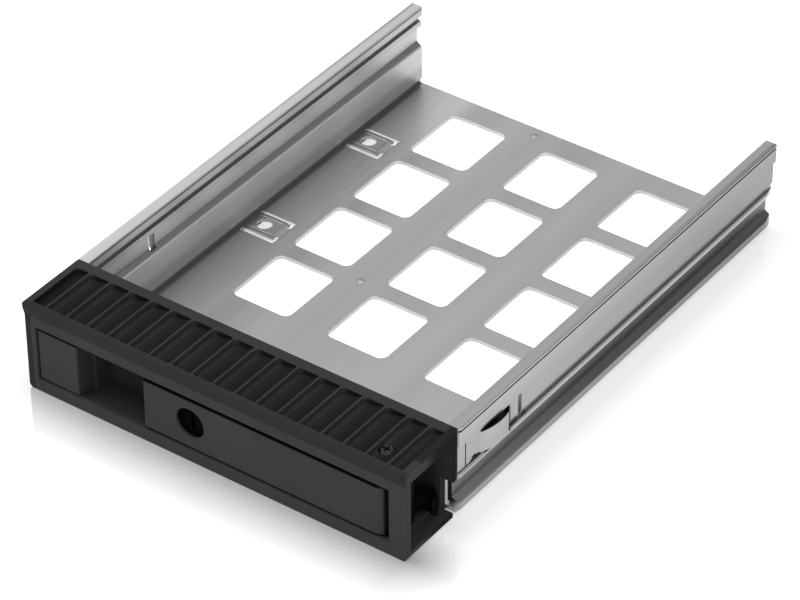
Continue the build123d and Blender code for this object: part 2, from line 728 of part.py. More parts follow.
def lever_arm():
    """The catch arm and its tooth at the lever's free end."""
    low = SLIDER_LOW + GAP
    high = SLIDER_HIGH - GAP
    arm = block(ARM_LEFT, ARM_LEFT + ARM_THICKNESS, LEVER_FACE + 1, ARM_END, low, high)
    outline = [
        (ARM_LEFT, ARM_END),
        (ARM_LEFT - TOOTH + 1.0, ARM_END),
        (ARM_LEFT - TOOTH, ARM_END - 0.8),
        (ARM_LEFT - TOOTH, ARM_END - TOOTH_LENGTH),
        (ARM_LEFT, ARM_END - TOOTH_LENGTH),
    ]
    return arm + along_z(outline, low, high)


def lever_handle():
    """The moulded lever: front plate, rims, hub, claw, lock boss and catch arm."""
    span = block(LEVER_LEFT, PIVOT_X, LEVER_FACE, LEVER_DEPTH, LEVER_LOW, LEVER_HIGH)
    hollow = block(
        LEVER_LEFT + LEVER_WALL, PIVOT_X - HUB_RADIUS - 3, LEVER_FACE + LEVER_SKIN,
        LEVER_DEPTH + 1, LEVER_LOW + LEVER_WALL, LEVER_HIGH - LEVER_WALL,
    )
    lever = span - hollow
    lever += post_z(PIVOT_X, PIVOT_Y, HUB_RADIUS, LEVER_LOW, LEVER_HIGH)
    lever += post_y(LOCK_X, LOCK_Z, LOCK_RADIUS + LOCK_BOSS_WALL, LEVER_FACE + 1, LEVER_DEPTH)
    lever += claw()
    lever += lever_arm()
    for inset in LEVER_RIB_INSETS:
        x = PIVOT_X - inset
        lever += block(
            x, x + LEVER_RIB, LEVER_FACE + 1, LEVER_DEPTH - LEVER_WALL, LEVER_LOW + 1, LEVER_HIGH - 1
        )
    lever -= post_y(LOCK_X, LOCK_Z, LOCK_RADIUS + RUNNING, -2, LEVER_DEPTH - LOCK_WEB)
    lever -= post_y(LOCK_X, LOCK_Z, LOCK_STEM + RUNNING, 0, LEVER_DEPTH + 1)
    lever -= post_z(PIVOT_X, PIVOT_Y, PIVOT_SCREW_RADIUS + RUNNING, 0, BEZEL_HEIGHT)
    lever -= post_z(PIVOT_X, PIVOT_Y, HUB_POCKET_RADIUS, HUB_POCKET_Z, LEVER_HIGH + 1)
    lever -= hub_gate()
    edges = lever.edges().filter_by(Axis.Z).group_by(Axis.X)[0].group_by(Axis.Y)[0]
    return fillet(edges, 0.4)


def hub_gate():
    """The gap in the hub's rim through which the spring's fixed leg passes."""
    outline = [(PIVOT_X, PIVOT_Y)]
    for angle in (18, 60, 120, 165):
        outline.append((
            PIVOT_X + 2 * HUB_RADIUS * math.cos(math.radians(angle)),
            PIVOT_Y + 2 * HUB_RADIUS * math.sin(math.radians(angle)),
        ))
    return along_z(outline, HUB_POCKET_Z, LEVER_HIGH + 1)


def lever_spring():
    """The torsion spring round the pivot: a coil and the leg that rests on the bezel."""
    wire = 0.3
    turns = 1.5
    radius = HUB_POCKET_RADIUS - wire - GAP
    height = LEVER_HIGH - HUB_POCKET_Z - 2 * GAP
    body = Pos(PIVOT_X, PIVOT_Y, HUB_POCKET_Z + GAP) * coil(radius, wire, turns, height)
    top = HUB_POCKET_Z + GAP + height - wire
    return body + post_y(PIVOT_X - radius, top, 0.97 * wire, PIVOT_Y, POCKET_BACK - GAP)


def pivot_screw():
    """The cross point screw that carries the lever."""
    seat = PIVOT_HEAD_TOP - PIVOT_HEAD_HEIGHT
    screw = post_z(PIVOT_X, PIVOT_Y, PIVOT_SCREW_RADIUS, FLOOR_TOP + 0.6, seat + 0.1)
    head = post_z(PIVOT_X, PIVOT_Y, PIVOT_HEAD_RADIUS, seat, PIVOT_HEAD_TOP)
    head = chamfer(head.edges().filter_by(GeomType.CIRCLE).sort_by(Axis.Z)[-1], 0.4)
    return screw + head - Pos(PIVOT_X, PIVOT_Y, PIVOT_HEAD_TOP) * cross_recess(2.1, 0.7)


def lock_barrel():
    """The lock's barrel: round face with a keyway, shoulder and square tail."""
    face = LEVER_FACE + LOCK_SINK
    shoulder = LEVER_DEPTH - LOCK_WEB - 0.05
    y0, y1 = cam_depths()
    barrel = post_y(LOCK_X, LOCK_Z, LOCK_RADIUS, face, shoulder)
    barrel += post_y(LOCK_X, LOCK_Z, LOCK_STEM, shoulder - 0.1, y0)
    barrel += block(LOCK_X - 1.5, LOCK_X + 1.5, y0 - 0.1, y1, LOCK_Z - 1.5, LOCK_Z + 1.5)
    barrel -= block(LOCK_X - 0.5, LOCK_X + 0.5, face - 1, face + 3, LOCK_Z - 2.4, LOCK_Z + 2.4)
    return barrel - post_y(LOCK_X, LOCK_Z, 0.9, y1 - 2.5, y1 + 1)


def lock_cam():
    """The cam plate on the barrel's tail."""
    y0, y1 = cam_depths()
    tip = LOCK_X + CAM_LENGTH - CAM_HALF
    cam = block(LOCK_X, tip, y0, y1, LOCK_Z - CAM_HALF, LOCK_Z + CAM_HALF)
    cam += post_y(LOCK_X, LOCK_Z, CAM_HALF + 0.4, y0, y1)
    cam += post_y(tip, LOCK_Z, CAM_HALF, y0, y1)
    side = 1.55
    return cam - block(LOCK_X - side, LOCK_X + side, y0 - 1, y1 + 1, LOCK_Z - side, LOCK_Z + side)


def lock_screw():
    """The screw that holds the cam on the barrel."""
    y0, y1 = cam_depths()
    screw = post_y(LOCK_X, LOCK_Z, 0.85, y1 - 2.4, y1 + 0.1)
    head = post_y(LOCK_X, LOCK_Z, 2.0, y1, y1 + 0.9)
    recess = Rot(-90, 0, 0) * cross_recess(2.2, 0.5)
    return screw + head - Pos(LOCK_X, y1 + 0.9, LOCK_Z) * recess


def release_button():
    """The square push button: hollow cap, retaining lip and wedge stem."""
    left = WINDOW_LEFT + BUTTON_GAP
    low = WINDOW_LOW + BUTTON_GAP
    high = WINDOW_HIGH - BUTTON_GAP
    cap = block(left, BUTTON_RIGHT, BUTTON_FACE, BUTTON_BACK, low, high)
    cap = fillet(cap.faces().sort_by(Axis.Y)[0].edges(), 0.3)
    cap += block(
        left - BUTTON_LIP, BUTTON_RIGHT, FRONT_WALL + GAP, BUTTON_BACK,
        low - BUTTON_LIP, high + BUTTON_LIP,
    )
    cap -= block(
        left + BUTTON_SKIN, BUTTON_RIGHT - BUTTON_SKIN, BUTTON_FACE + BUTTON_SKIN,
        BUTTON_BACK + 1, low + BUTTON_SKIN, high - BUTTON_SKIN,
    )
    stem = [
        (WEDGE_TIP_X, BUTTON_FACE + BUTTON_SKIN - 0.1),
        (WEDGE_TIP_X, WEDGE_TIP_Y),
        (WEDGE_TIP_X - WEDGE_WIDTH, WEDGE_TIP_Y - WEDGE_WIDTH),
        (WEDGE_TIP_X - WEDGE_WIDTH, BUTTON_FACE + BUTTON_SKIN - 0.1),
    ]
    return cap + along_z(stem, WEDGE_LOW, WEDGE_HIGH)


def slider_right():
    """The slider's right end, which the catch arm's tooth passes at its closest."""
    return ARM_LEFT - TOOTH - 0.75


def latch_slider():
    """The sliding latch: wedge window, spring window and hooked nose."""
    right = slider_right() - NOSE_LENGTH
    bar = block(SLIDER_LEFT, right, SLIDER_FRONT, SLIDER_BACK, SLIDER_LOW, SLIDER_HIGH)
    bar += block(right - 0.1, right + NOSE_LENGTH, SLIDER_FRONT, NOSE_BACK, SLIDER_LOW, SLIDER_HIGH)
    slant = WEDGE_TIP_X - WEDGE_TIP_Y - math.sqrt(2) * GAP
    clear_right = WEDGE_TIP_X + BUTTON_TRAVEL + GAP
    y0 = SLIDER_FRONT - 1
    y1 = SLIDER_BACK + 1
    window = [(slant + y0, y0), (clear_right, y0), (clear_right, y1), (slant + y1, y1)]
    bar -= along_z(window, WEDGE_LOW - GAP, WEDGE_HIGH + GAP)
    post_left = SPRING_POST_X - SPRING_POST_WIDTH / 2
    post_right = SPRING_POST_X + SPRING_POST_WIDTH / 2
    bar -= block(
        post_left - GAP, post_right + SPRING_ROOM, SLIDER_FRONT - 1, SLIDER_BACK + 1,
        WEDGE_LOW - GAP, WEDGE_HIGH + GAP,
    )
    return bar


def latch_spring():
    """The coil between the channel's post and the slider's spring window."""
    start = SPRING_POST_X + SPRING_POST_WIDTH / 2
    middle_y = (SLIDER_FRONT + SLIDER_BACK) / 2
    middle_z = (WEDGE_LOW + WEDGE_HIGH) / 2
    spring = coil(1.1, 0.22, 3.0, SPRING_ROOM - 0.2)
    return Pos(start + 0.1, middle_y, middle_z) * Rot(0, 90, 0) * spring


def button_spring():
    """The coil behind the button's face."""
    start = BUTTON_FACE + BUTTON_SKIN + 0.1
    length = SLIDER_FRONT - GAP - 0.1 - start
    middle_z = (WINDOW_LOW + WINDOW_HIGH) / 2
    spring = coil(1.8, 0.25, 3.0, length)
    return Pos(WINDOW_LEFT + 4.2, start, middle_z) * Rot(-90, 0, 0) * spring


def bezel_screw(x):
    """A countersunk screw from below, through the tray's tab into the bezel."""
    depth = SCREW_HEAD_RADIUS - SCREW_RADIUS
    screw = post_z(x, SCREW_ROW_Y, SCREW_RADIUS, FLOOR_LOW + depth - 0.1, FLOOR_LOW + SCREW_LENGTH)
    screw += Pos(x, SCREW_ROW_Y, FLOOR_LOW + depth / 2) * Cone(
        SCREW_HEAD_RADIUS, SCREW_RADIUS, depth
    )
    recess = Rot(180, 0, 0) * cross_recess(2.6, 0.9)
    return screw - Pos(x, SCREW_ROW_Y, FLOOR_LOW) * recess


def cover_screw(x):
    """A countersunk screw that holds the rear cover."""
    sink = 1.2
    y0 = COVER_FRONT - COVER_SCREW_LENGTH + 0.4
    screw = post_y(x, COVER_SCREW_Z, SCREW_RADIUS, y0, BEZEL_DEPTH - sink + 0.1)
    cone = Cone(SCREW_RADIUS, SCREW_RADIUS + sink, sink)
    screw += Pos(x, BEZEL_DEPTH - sink / 2, COVER_SCREW_Z) * Rot(-90, 0, 0) * cone
    recess = Rot(-90, 0, 0) * cross_recess(2.6, 0.8)
    return screw - Pos(x, BEZEL_DEPTH, COVER_SCREW_Z) * recess


def all_parts():
    """Every node's name and solid."""
    parts = {
        "tray_channel": tray_channel(),
        "bezel_housing": bezel_housing(),
        "rear_cover": rear_cover(),
        "lever_handle": lever_handle(),
        "lever_spring": lever_spring(),
        "pivot_screw": pivot_screw(),
        "lock_barrel": lock_barrel(),
        "lock_cam": lock_cam(),
        "lock_screw": lock_screw(),
        "release_button": release_button(),
        "button_spring": button_spring(),
        "latch_slider": latch_slider(),
        "latch_spring": latch_spring(),
    }
    for number, x in enumerate(bezel_screw_xs(), 1):
        parts[f"bezel_screw_{number}"] = bezel_screw(x)
    for number, x in enumerate(COVER_SCREW_XS, 1):
        parts[f"cover_screw_{number}"] = cover_screw(x)
    return parts


os.makedirs("parts", exist_ok=True)
for name, shape in all_parts().items():
    export_step(Pos(0, -ORIGIN_Y, 0) * shape, f"parts/{name}.step")
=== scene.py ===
import math

import bpy
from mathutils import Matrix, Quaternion, Vector


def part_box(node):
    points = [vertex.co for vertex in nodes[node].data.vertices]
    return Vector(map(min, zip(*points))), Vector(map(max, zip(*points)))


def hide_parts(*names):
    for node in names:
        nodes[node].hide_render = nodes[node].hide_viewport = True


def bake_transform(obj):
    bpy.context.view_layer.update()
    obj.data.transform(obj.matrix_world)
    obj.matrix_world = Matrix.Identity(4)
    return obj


# Looks of a hot swap drive caddy: a brushed aluminium tray behind a black moulded
# bezel. Metres, in the CAD's own frame: +X right, +Y back, +Z up.

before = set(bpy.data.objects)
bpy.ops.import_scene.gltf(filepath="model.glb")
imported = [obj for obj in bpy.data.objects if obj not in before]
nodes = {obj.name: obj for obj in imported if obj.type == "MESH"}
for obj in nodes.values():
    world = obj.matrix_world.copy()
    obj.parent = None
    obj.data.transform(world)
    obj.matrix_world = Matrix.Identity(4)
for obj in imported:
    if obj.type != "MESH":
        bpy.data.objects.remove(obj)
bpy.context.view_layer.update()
MM = 0.001

# Axes, by their place in a vector
X, Y = 0, 1

# Camera, from the photograph
EYE = Vector((0.44502, -0.61769, 0.58256))
CAMERA_AZIMUTH = math.radians(35.933)
CAMERA_ELEVATION = math.radians(37.348)
CAMERA_ROLL = math.radians(-0.343)
LENS = 176.343
SENSOR = 36.0
NEAREST, FARTHEST = 0.05, 20.0

# Rounding of the moulded edges
EDGE_WIDTHS = {
    "bezel_housing": 0.12 * MM, "lever_handle": 0.15 * MM, "release_button": 0.15 * MM,
}
EDGE_ANGLE = math.radians(35.0)
EDGE_SEGMENTS = 2
WELD_DISTANCE = 1e-6

# Colours, linear
ALUMINIUM = (0.45, 0.45, 0.452)
PLASTIC = (0.052, 0.052, 0.0528)
# Painted shade on the black plastic: darker copies of its colour for faces, hollows and gaps that
# the light reaches less
TOP_SHADE = (0.037, 0.037, 0.0375)
CORNER_SHADE = (0.03, 0.03, 0.0305)
TOP_MARGIN_SHADE = (0.019, 0.019, 0.0193)
SCOOP_SHADE = (0.0155, 0.0155, 0.0159)
BROW_SHADE = (0.028, 0.028, 0.0284)
FRONT_RIM_SHADE = (0.0285, 0.0285, 0.029)
RECESS_SHADE = (0.035, 0.035, 0.0356)
POCKET_SHADE = (0.044, 0.044, 0.0447)
FLANK_SHADE = (0.009, 0.009, 0.0092)
DEEP_SHADE = (0.004, 0.004, 0.004)
# The lock barrel, nearly black
LOCK = (0.002, 0.002, 0.002)
LATCH = (0.07, 0.07, 0.072)
STEEL = (0.52, 0.52, 0.53)
BLACK_OXIDE = (0.05, 0.05, 0.052)
FLOOR = (0.82, 0.82, 0.82)
WHITE = (1.0, 1.0, 1.0)

# Gloss and grain of the surfaces; a swing is how far the grain takes roughness down and up
METAL_ROUGHNESS, METAL_SWING = 0.36, (-0.05, 0.08)
MOULD_ROUGHNESS, MOULD_SWING = 0.5, (-0.05, 0.07)
PLATED_ROUGHNESS, PLATED_SWING = 0.32, (-0.06, 0.08)
LOCK_ROUGHNESS = 0.7
OXIDE_ROUGHNESS = 0.38
MOULD_GLOSS = 0.02
GRAIN_RELIEF = 0.25
BRUSHED_DEPTH = 0.00002
MOULD_DEPTH = 0.00004

# Noises in the row frame. The tray's are drawn out along Y, as it was rolled and brushed
EVEN = (1.0, 1.0, 1.0)
BRUSH_LINES = {"stretch": (1.0, 0.004, 1.0), "scale": 2600.0, "detail": 4.0, "roughness": 0.7}
ROLLED_CLOUDS = {"stretch": (1.0, 0.15, 1.0), "scale": 45.0, "detail": 2.0}
ROLLED_BANDS = {"stretch": (1.0, 0.01, 1.0), "scale": 120.0, "detail": 2.0, "roughness": 0.5}
MOULD_GRAIN = {"stretch": EVEN, "scale": 3800.0, "detail": 2.0}
MOULD_CLOUDS = {"stretch": EVEN, "scale": 60.0}
PLATED_CLOUDS = {"stretch": EVEN, "scale": 900.0}

# The values of a noise between which a colour changes, and the shares of it at either end
WIDE, USUAL, NARROW = (0.25, 0.75), (0.3, 0.7), (0.35, 0.65)
BRUSH_TINTS = (0.94, 1.05)
CLOUD_TINTS = (0.93, 1.0)
BAND_TINTS = (0.93, 1.04)
MOULD_TINTS = (0.9, 1.06)
PLATED_TINTS = (0.85, 1.0)

# The bezel's face in the row frame
BEZEL_DEPTH = 20.3 * MM
FACE_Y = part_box("bezel_housing")[1].y - BEZEL_DEPTH

# The scoops between the ribs on the bezel, and the painted light and shade across one,
# lightest at its left and darker towards its right
RIB_COUNT = 17
RIB_PITCH = 6.17 * MM
FIRST_RIB = -(RIB_COUNT - 1) / 2 * RIB_PITCH
SCOOP_TINTS = [(0.08, 2.8), (0.3, 1.1), (0.6, 0.8), (0.92, 0.75)]

# The tables of painted shade below give a shade, the softness of its edge and its place; a
# shade above the plain colour is painted light. Places are spans in millimetres: x from the
# middle, side from the middle plane to either side, y from the bezel's face and z from the base.
# A span's third number is a softness of its own, and comes_in is the span of y over which a shade
# sets in. OUT is past either side.
OUT = 60
ACROSS = (-OUT, OUT)
BEHIND_BEZEL = (22, 156.6)
UNDER_TOP = (0, 22)

# The bezel, the lever and the button, with painted shade given as colours: darker copies of
# the plastic where its faces, hollows and gaps take less light
BEZEL_SHADES = {
    "left end of the face": (CORNER_SHADE, 0.3, {"x": (-OUT, -53.6), "y": (-4, 0.3), "z": UNDER_TOP}),
    "top": (TOP_SHADE, 0.1, {"z": (25.25, 27), "y": (-0.1, 30)}),
    "top's right margin": (TOP_MARGIN_SHADE, 0.6, {"x": (53.6, OUT), "z": (25.25, 27), "y": (6, 30)}),
    "scoops": (SCOOP_SHADE, 0.12, {"side": (0, 53.4), "y": (1.2, 17.6), "z": (22, 25.15)}),
    "brow": (BROW_SHADE, 0.15, {"side": (0, OUT), "y": (-4, -0.1), "z": (21.9, 26)}),
    "top's front rim": (FRONT_RIM_SHADE, 0.15, {"side": (0, OUT), "y": (-0.1, 0.9), "z": (25.2, 26)}),
    "window": (RECESS_SHADE, 0.2, {"x": (-OUT, 50), "y": (1.0, 19.8), "z": (1.6, 21.8)}),
    "window's right end": (POCKET_SHADE, 0.2, {"x": (50, 54.9), "y": (1.0, 19.8), "z": (1.6, 21.8)}),
    "right end": (FLANK_SHADE, 0.1, {"x": (55.05, OUT), "z": (0, 25.2), "y": (11, 30, 4.0)}),
    "side pocket": (POCKET_SHADE, 0.2, {"x": (50.5, 55.0), "y": (2.0, 18.4), "z": (2.0, 22.1)}),
}
# The lever's and the button's painted shade: their faces behind the front and the gaps at their
# edges
LEVER_SHADES = {
    "behind the face": (DEEP_SHADE, 0.3, {"x": ACROSS, "y": (1.2, 20), "z": UNDER_TOP}),
    "upper edge": (DEEP_SHADE, 0.1, {"x": ACROSS, "y": (0, 1.2), "z": (17.6, 19)}),
    "lower edge": (DEEP_SHADE, 0.1, {"x": ACROSS, "y": (0, 1.2), "z": (3, 4.1)}),
}
BUTTON_SHADES = {
    "behind the face": (POCKET_SHADE, 0.3, {"x": ACROSS, "y": (0.9, 20), "z": UNDER_TOP}),
    "upper edge": (DEEP_SHADE, 0.1, {"x": ACROSS, "y": (0, 0.9), "z": (18.15, 19)}),
}

# The fine lines along the flange's outer edge
FLANGE_EDGE = (54.9, OUT)
FLANGE_LINES = (2.1, 2.7, 3.3)
FLANGE_LINE_WIDTH = 0.12
FLANGE_LINE_TINT = 0.8
FLANGE_LINE_SOFT = 0.06

# The drive pads: rows from the bezel's face, then painted shade on the pads' sloping toes, and
# at either edge of a pad painted light on its slot's walls, a painted bright edge and a painted
# dark one, by their distance from the row
DRIVE_ROW = 82.3
DRIVE_PITCH = 44.45
PAD_ROWS = (DRIVE_ROW, DRIVE_ROW + DRIVE_PITCH)
PAD_HALF = 3.6
PAD_TOP = (1.3, 2.0)
PAD_TOE = (0.75, 0.1, (41.1, 43.6))
PAD_EDGES = {
    "slot walls": (2.2, 0.04, {"side": (43.44, 51.5), "y": (2.3, 5.5), "z": (0.3, 1.28)}),
    "bright": (1.9, 0.08, {"side": (43.4, 51), "y": (2.55, 2.8), "z": PAD_TOP}),
    "dark": (0.7, 0.08, {"side": (42.4, 51), "y": (2.95, 3.5), "z": PAD_TOP}),
}

# Where the tray's painted shade and light set in along its length
FAR_HALF = (50, 155)
FRONT_HALF = (30, 80)
BACK_END = (138, 157)

# Parts of the tray that several painted shades share
OUTER_FACE = (54.6, OUT)
GROOVE = (53.1, OUT)
NECK = {"side": (54.2, 55.2), "z": (12.0, 13.6)}
SLOT = {"y": (44.9, 46.8), "z": (12.15, 18.9)}
SPRING_WINDOW = (29.6, 41.2)
BEHIND_SPRING = (25.1, 41.2)
CUT_OUTS = (0, 39)
BAY_FLOOR = {"side": (0, 51.6), "z": (1.48, 2.6)}

# The tray's painted shade and painted highlights, as shares of its own colour: below 1 for
# shade in grooves, hollows and on faces that take less light, above 1 for painted light
TRAY_SHADES = {
    "wall's outer face": (0.66, 0.2, {"side": OUTER_FACE, "z": (13.5, 26), "comes_in": FAR_HALF}),
    "flange's edge": (0.72, 0.2, {"side": OUTER_FACE, "z": (0.3, 3.6), "comes_in": FAR_HALF}),
    "groove": (0.62, 0.2, {"side": GROOVE, "z": (4.6, 9.9), "comes_in": FRONT_HALF}),
    "groove's low half": (
        0.85, 0.6, {"side": (53.1, 53.4), "z": (4.6, 6.4), "comes_in": FRONT_HALF}),
    "flange's slope": (
        0.6, 0.05, {"side": (53.42, 55.36), "z": (3.3, 4.6), "comes_in": FRONT_HALF}),
    "bead's upper round": (1.25, 0.3, {"side": (54.9, 57), "z": (11.1, 12.1), "y": (42, 160)}),
    "groove's back end": (1.7, 0.2, {"side": GROOVE, "z": (4.6, 8.2), "comes_in": BACK_END}),
    "right slot": (1.8, 0.1, {"x": (53.2, 54.8), **SLOT}),
    "left slot": (0.35, 0.1, {"x": (-54.8, -53.2), **SLOT}),
    "spring window's sill": (
        0.04, 0.03, {"side": (54.02, 56.6), "y": SPRING_WINDOW, "z": (12.07, 12.3)}),
    "sill's edge": (0.05, 0.05, {"side": (54.85, 55.45), "y": (30.5, 40.8), "z": (11.7, 12.05)}),
    "spring window's end": (
        0.3, 0.1, {"side": (54.7, 55.0), "y": (41.0, 41.5), "z": (12.1, 18.0)}),
    "inner face at half height": (1.22, 0.1, {"side": (51.5, 52.5), "z": (8.0, 12.0, 2.0)}),
    "relief at the wall's foot": (0.62, 0.1, {"side": (52.0, 52.9), "z": (1.5, 2.95)}),
    "back of the inner recess": (1.2, 0.1, {"side": (53.7, 53.95), "z": (14.3, 20.8)}),
    "bay's floor": (1.1, 0.02, BAY_FLOOR),
    "bay's floor on the left": (1.3, 0.02, {**BAY_FLOOR, "x": (-45, -37, 5.0)}),
    "flange's lower edge": (0.72, 0.12, {"side": (55.0, OUT), "z": (0.15, 1.7)}),
    "depth of the groove": (0.42, 0.8, {"side": (53.0, OUT), "z": (3.6, 9.0)}),
    "neck beside the window": (0.4, 0.15, {**NECK, "y": (41.2, 48)}),
    "neck": (0.7, 0.15, {**NECK, "y": (48, 160)}),
    "slit under the rail": (0.78, 0.1, {"side": (52.35, 53.6), "z": (20.9, 22.7)}),
    "line on the rail, outside": (0.4, 0.08, {"side": (54.9, 55.45), "z": (24.15, 24.65)}),
    "line on the rail, inside": (0.3, 0.1, {"side": (52.0, 52.3), "z": (24.5, 24.95)}),
    "slope under the inner recess": (0.42, 0.3, {"side": (52.1, 53.9), "z": (13.3, 14.1)}),
    "depth of the spring window": (
        0.03, 0.05, {"side": (54.02, 54.8), "y": BEHIND_SPRING, "z": (12.1, 18.7)}),
    "spring window's lintel": (
        0.05, 0.05, {"side": (54.0, 56.6), "y": SPRING_WINDOW, "z": (18.3, 18.7)}),
    "cut-outs' lower edge": (
        1.8, 0.03, {"side": CUT_OUTS, "y": BEHIND_BEZEL, "z": (0.29, 0.38)}),
    "cut-outs' walls": (1.3, 0.05, {"side": CUT_OUTS, "y": BEHIND_BEZEL, "z": (0.42, 1.28)}),
    "pad slots' walls": (2.2, 0.04, {"side": (39.2, 43.4), "y": BEHIND_BEZEL, "z": (0.3, 1.28)}),
    "line under the floor's edges": (
        0.5, 0.03, {"side": (0, 51.5), "y": BEHIND_BEZEL, "z": (1.36, 1.46)}),
    "left rail's top": (1.62, 0.05, {"x": (-OUT, -52), "z": (25.3, 26)}),
}

# Painted shade behind the side springs, made by dimming the metal's reflection there: again a
# share, a softness and a place
SPRING_RECESS_SHADE = (0.5, 0.05, {"side": (53.9, 54.5), "y": BEHIND_SPRING, "z": (12.1, 18.9)})

# The floor: its glow as the camera and glossy surfaces see it, more of it under the tray
FLOOR_SIZE = 6.0
FLOOR_BELOW = 0.00002
FLOOR_ROUGHNESS = 0.55
FLOOR_GLOSS = 0.2
CAMERA_GLOW = 0.43
UNDER_GLOW = 0.85
GLOSSY_GLOW = 0.4
UNDER_TRAY = (4.0, {"side": (0, 43), "y": (24, 154)})

# The floor's faint mirror round the caddy. Beside the caddy only a share of it is left, and
# the fade between the two lies at these distances behind the bezel's face
MIRROR = 0.63
SIDE_MIRROR = 0.14
MIRROR_ROUGHNESS = 0.05
MIRROR_FADE = (12, 2)
AROUND_CADDY = (20.0, {"side": (0, 55), "y": (0, 156)})

# Light: the surround's brightness from the horizon up, and the lamps
SKY = [(0.0, 0.12), (0.25, 0.35), (0.55, 0.85), (1.0, 0.85)]
LAMPS = {
    "key": {"place": (-0.5, -0.2, 0.9), "target": (0, 0, 0), "size": (0.6, 0.9), "power": 5.5},
    "front": {
        "place": (0.7, -0.7, 0.45), "target": (0, 0, 0.02), "size": (0.5, 0.5), "power": 1.8},
}


def scaled(colour, tint):
    """A colour made darker or lighter."""
    return tuple(c * tint for c in colour)


def new_material(name):
    """A material with its shader and an empty place to build in."""
    material = bpy.data.materials.new(name)
    material.use_nodes = True
    tree = material.node_tree
    return material, tree, tree.nodes["Principled BSDF"]


def feed(tree, socket, value):
    """Gives an input a link, a plain value or a colour."""
    if isinstance(value, bpy.types.NodeSocket):
        tree.links.new(value, socket)
    elif socket.type == "RGBA":
        socket.default_value = (*value, 1.0)
    else:
        socket.default_value = value


def add(tree, kind, **values):
    """A node with its plain properties and its named inputs set or linked."""
    node = tree.nodes.new(kind)
    for key, value in values.items():
        if key in node.inputs:
            feed(tree, node.inputs[key], value)
        else:
            setattr(node, key, value)
    return node


def calculate(tree, operation, *values):
    """The result of a sum in nodes; each value may be a link or a number."""
    node = add(tree, "ShaderNodeMath", operation=operation)
    for socket, value in zip(node.inputs, values):
        feed(tree, socket, value)
    return node.outputs[0]


def multiply(tree, first, second):
    """The product of two factors."""
    return calculate(tree, "MULTIPLY", first, second)


def object_noise(tree, stretch, scale, detail=3.0, roughness=0.55):
    """Noise in the row frame, stretched along the axes, so that it is the same on every side."""
    place = add(tree, "ShaderNodeTexCoord").outputs["Object"]
    mapping = add(tree, "ShaderNodeMapping", Vector=place, Scale=stretch)
    noise = add(tree, "ShaderNodeTexNoise", Vector=mapping.outputs["Vector"],
                Scale=scale, Detail=detail, Roughness=roughness)
    return noise.outputs["Fac"]


def ramp(tree, factor, stops):
    """A colour ramp over a factor; stops are (place, value or colour)."""
    node = add(tree, "ShaderNodeValToRGB", Fac=factor)
    band = node.color_ramp
    while len(band.elements) < len(stops):
        band.elements.new(0.5)
    for element, (place, value) in zip(band.elements, stops):
        element.position = place
        colour = value if isinstance(value, tuple) else scaled(WHITE, value)
        element.color = (*colour, 1.0)
    return node.outputs["Color"]


def swing(tree, factor, ends, values):
    """A ramp from one value to another, between the factor's two ends."""
    return ramp(tree, factor, list(zip(ends, values)))


def mix_colour(tree, factor, first, second, blend="MIX"):
    """Two colours mixed; each of the three may be a link or a plain value."""
    node = add(tree, "ShaderNodeMix", data_type="RGBA", blend_type=blend)
    enabled = {socket.name: socket for socket in node.inputs if socket.enabled}
    for name, value in (("Factor", factor), ("A", first), ("B", second)):
        feed(tree, enabled[name], value)
    return next(socket for socket in node.outputs if socket.enabled)


def frame_axes(tree):
    """Object coordinates by name: x, y, z and side, the distance from the middle plane."""
    place = add(tree, "ShaderNodeTexCoord").outputs["Object"]
    split = add(tree, "ShaderNodeSeparateXYZ", Vector=place).outputs
    side = calculate(tree, "ABSOLUTE", split["X"])
    return {"x": split["X"], "y": split["Y"], "z": split["Z"], "side": side}


def slope(tree, value, start, end, low=0.0, high=1.0):
    """A factor that goes from low at start to high at end."""
    limits = {"From Min": start, "From Max": end, "To Min": low, "To Max": high}
    return add(tree, "ShaderNodeMapRange", Value=value, **limits).outputs["Result"]


def region(tree, axes, soft, comes_in=None, **spans):
    """A factor that is 1 inside the spans and fades out over soft; see the tables of shades."""
    factor = None
    for axis, (low, high, *own_soft) in spans.items():
        shift = FACE_Y if axis == "y" else 0.0
        fade = (own_soft[0] if own_soft else soft) * MM
        rise = slope(tree, axes[axis], shift + low * MM - fade, shift + low * MM)
        fall = slope(tree, axes[axis], shift + high * MM + fade, shift + high * MM)
        both = multiply(tree, rise, fall)
        factor = both if factor is None else multiply(tree, factor, both)
    if comes_in:
        start, end = (FACE_Y + place * MM for place in comes_in)
        factor = multiply(tree, slope(tree, axes["y"], start, end), factor)
    return factor


def bump(tree, shader, height, depth):
    """A fine relief from a height factor."""
    node = add(tree, "ShaderNodeBump", Strength=GRAIN_RELIEF, Distance=depth, Height=height)
    feed(tree, shader.inputs["Normal"], node.outputs["Normal"])


def flange_lines():
    """The shades of the fine lines along the flange's outer edge."""
    spans = [{"side": FLANGE_EDGE, "z": (z, z + FLANGE_LINE_WIDTH)} for z in FLANGE_LINES]
    return [(FLANGE_LINE_TINT, FLANGE_LINE_SOFT, place) for place in spans]


def pad_shades():
    """The painted shade and highlights of the drive pads, row by row."""
    shades = []
    toe_tint, toe_soft, toe_side = PAD_TOE
    for row in PAD_ROWS:
        toe = {"side": toe_side, "y": (row - PAD_HALF, row + PAD_HALF), "z": PAD_TOP}
        shades.append((toe_tint, toe_soft, toe))
        for way in (-1, 1):
            for tint, soft, spans in PAD_EDGES.values():
                edge = sorted(row + way * away for away in spans["y"])
                shades.append((tint, soft, {**spans, "y": edge}))
    return shades


